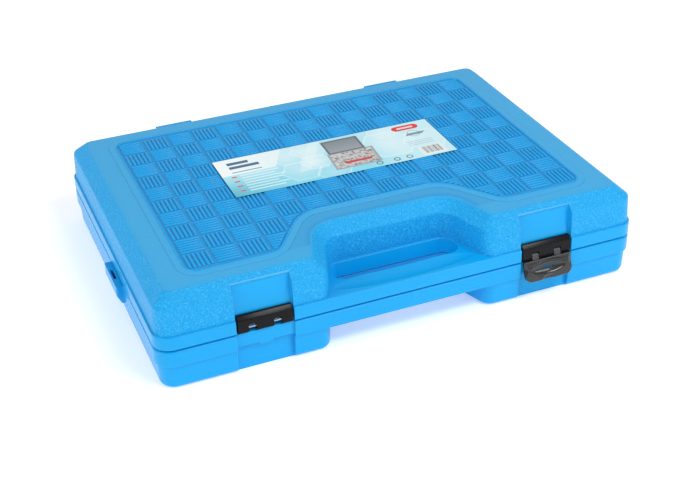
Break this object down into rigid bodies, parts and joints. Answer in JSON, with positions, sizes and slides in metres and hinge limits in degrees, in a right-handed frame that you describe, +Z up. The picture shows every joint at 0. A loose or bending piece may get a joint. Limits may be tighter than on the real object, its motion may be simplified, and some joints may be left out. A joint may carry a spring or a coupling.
{
  "type": "socket wrench set in case",
  "caption": "Blue blow-moulded carrying case, shut, with a checkered lid, front handle and latches; it opens on socket wrench tools in fitted pockets.",
  "frame": {"origin": "centre of the base's flat underside", "axes": "+X along the case's length to the right seen from the handle, +Y from the handle towards the hinges, +Z up"},
  "size_m": [0.401, 0.3005, 0.0787],
  "materials": {
    "blue_plastic": "bright blue blow-moulded polyethylene, fine grained on the lid's slopes and smooth on the bands",
    "black_plastic": "black moulded plastic",
    "smoked_plastic": "glossy dark smoked plastic",
    "printed_label": "printed white and pale cyan label, glossy film",
    "plain_steel": "plain bright steel",
    "chrome_steel": "satin chrome plate",
    "black_steel": "black oxide steel",
    "grip_rubber": "black soft-grip rubber with a coloured band"
  },
  "bodies": {
    "case_base": {"base_shell": "blue_plastic", "extension_half_long": "chrome_steel", "extension_half_short": "chrome_steel", "extension_quarter": "chrome_steel", "hex_key_4": "black_steel", "hex_key_5": "black_steel", "hex_key_6": "black_steel", "hinge_pin_left": "plain_steel", "hinge_pin_right": "plain_steel", "ratchet_half_body": "chrome_steel", "ratchet_half_grip": "grip_rubber", "ratchet_quarter_body": "chrome_steel", "ratchet_quarter_grip": "grip_rubber", "socket_half_10": "chrome_steel", "socket_half_13": "chrome_steel", "socket_half_14": "chrome_steel", "socket_half_16": "chrome_steel", "socket_half_17": "chrome_steel", "socket_half_19": "chrome_steel", "socket_half_21": "chrome_steel", "socket_half_22": "chrome_steel", "socket_half_24": "chrome_steel", "socket_half_27": "chrome_steel", "socket_half_30": "chrome_steel", "socket_half_32": "chrome_steel", "socket_quarter_10": "chrome_steel", "socket_quarter_12": "chrome_steel", "socket_quarter_13": "chrome_steel", "socket_quarter_5": "chrome_steel", "socket_quarter_6": "chrome_steel", "socket_quarter_7": "chrome_steel", "socket_quarter_8": "chrome_steel", "socket_quarter_9": "chrome_steel", "spark_plug_socket": "chrome_steel", "spinner_grip": "grip_rubber", "spinner_shaft": "chrome_steel"},
    "lid": {"lid_shell": "blue_plastic", "label_sheet": "printed_label", "latch_block_left": "black_plastic", "latch_block_right": "black_plastic", "latch_pin_left": "plain_steel", "latch_pin_right": "plain_steel"},
    "latch_lever": {"latch_lever_right": "smoked_plastic"},
    "ratchet_half_driver": {"ratchet_half_drive": "plain_steel"},
    "ratchet_half_switch": {"ratchet_half_selector": "plain_steel"},
    "ratchet_quarter_driver": {"ratchet_quarter_drive": "plain_steel"},
    "ratchet_quarter_switch": {"ratchet_quarter_selector": "plain_steel"}
  },
  "joints": [
    {"name": "lid_hinge", "type": "hinge", "parent": "case_base", "child": "lid", "pos_m": [0, 0.147, 0.0344], "axis": [-1, 0, 0], "range_deg": [0, 105]},
    {"name": "latch_lever_hinge", "type": "hinge", "parent": "lid", "child": "latch_lever", "pos_m": [0.1163, -0.1384, 0.0382], "axis": [-1, 0, 0], "range_deg": [-18, 90]},
    {"name": "ratchet_half_drive_turn", "type": "hinge", "parent": "case_base", "child": "ratchet_half_driver", "pos_m": [-0.1511, 0.01528, 0.01713], "axis": [0, 0, 1], "continuous": true},
    {"name": "ratchet_half_selector_turn", "type": "hinge", "parent": "case_base", "child": "ratchet_half_switch", "pos_m": [-0.1511, 0.01528, 0.04035], "axis": [0, 0, 1], "range_deg": [-25, 25]},
    {"name": "ratchet_quarter_drive_turn", "type": "hinge", "parent": "case_base", "child": "ratchet_quarter_driver", "pos_m": [-0.14243, -0.02675, 0.02335], "axis": [0, 0, 1], "continuous": true},
    {"name": "ratchet_quarter_selector_turn", "type": "hinge", "parent": "case_base", "child": "ratchet_quarter_switch", "pos_m": [-0.14243, -0.02675, 0.03585], "axis": [0, 0, 1], "range_deg": [-25, 25]}
  ]
}
